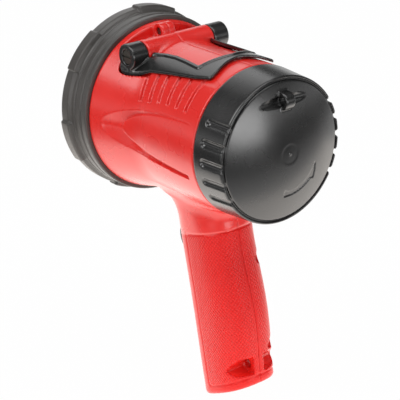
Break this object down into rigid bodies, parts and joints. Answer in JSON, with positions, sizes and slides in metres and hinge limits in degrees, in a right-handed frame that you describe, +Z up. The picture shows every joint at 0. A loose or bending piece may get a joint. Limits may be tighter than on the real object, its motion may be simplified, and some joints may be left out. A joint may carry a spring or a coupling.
{
  "type": "pistol-grip spotlight",
  "caption": "Handheld pistol-grip spotlight with a red moulded housing, grey rubber bezel, black folding top stand, finger trigger and a black screw-on rear cap with a lanyard loop.",
  "frame": {"origin": "middle of the bounding box in X and Y, at the lowest point of the grip toe", "axes": "+Z up; -Y forward along the beam; +Y to the rear cap; +X the user's left"},
  "size_m": [0.1114, 0.139, 0.2228],
  "materials": {
    "red_shell": "moulded, textured on the grip",
    "bezel_rubber": "matte",
    "black_plastic": "semi-gloss",
    "seal_rubber": "matte",
    "trigger_plastic": "satin",
    "clear_lens": "polished",
    "reflector_metal": "vacuum-coated",
    "sink_aluminium": "machined",
    "steel": "plated",
    "board": "lacquered",
    "white_board": "lacquered",
    "emitter": "phosphor under a clear dome",
    "indicator": "frosted",
    "plunger": "satin",
    "cell_wrap": "shrink film",
    "foam": "foam"
  },
  "bodies": {
    "housing": {"left_housing": "red_shell", "right_housing": "red_shell", "bezel_ring": "bezel_rubber", "lens": "clear_lens", "lens_seal": "seal_rubber", "reflector": "reflector_metal", "led_board": "white_board", "led_emitter": "emitter", "heat_sink": "sink_aluminium", "sink_screws": "steel", "driver_board": "board", "driver_screws": "steel", "port_panel": "trigger_plastic", "panel_screws": "steel", "charge_board": "board", "board_screws": "steel", "power_socket": "steel", "charge_socket": "steel", "charge_indicator": "indicator", "stand_pivot_screws": "steel", "trigger_spring": "steel", "trigger_switch": "trigger_plastic", "battery_cell": "cell_wrap", "battery_tabs": "steel", "battery_pad": "foam", "housing_screws": "steel", "boss_screw": "steel"},
    "folding_stand": {"stand": "black_plastic"},
    "finger_trigger": {"trigger": "trigger_plastic"},
    "plunger": {"switch_plunger": "plunger"},
    "seal_ring": {"cap_seal": "seal_rubber"},
    "screw_cap": {"rear_cap": "black_plastic"}
  },
  "joints": [
    {"name": "stand_fold", "type": "hinge", "parent": "housing", "child": "folding_stand", "pos_m": [0, -0.02985, 0.2056], "axis": [1, 0, 0], "range_deg": [0, 130]},
    {"name": "trigger_pull", "type": "slide", "parent": "housing", "child": "finger_trigger", "axis": [0, 1, 0], "range_m": [0, 0.004], "stiffness_N_per_m": 500, "springref_m": -0.004, "deforming": ["trigger_spring"]},
    {"name": "plunger_slide", "type": "slide", "parent": "housing", "child": "plunger", "axis": [0, 1, 0], "range_m": [0, 0.0041]},
    {"name": "cap_turn", "type": "hinge", "parent": "housing", "child": "seal_ring", "pos_m": [0, 0.042, 0.167], "axis": [0, 1, 0], "range_deg": [0, 450]},
    {"name": "cap_travel", "type": "slide", "parent": "seal_ring", "child": "screw_cap", "axis": [0, 1, 0], "range_m": [0, 0.0101]}
  ],
  "couplings": [
    {"joint": "cap_travel", "follows": "cap_turn", "m_per_rad": 0.0012732},
    {"joint": "plunger_slide", "follows": "trigger_pull", "ratio": 1}
  ]
}
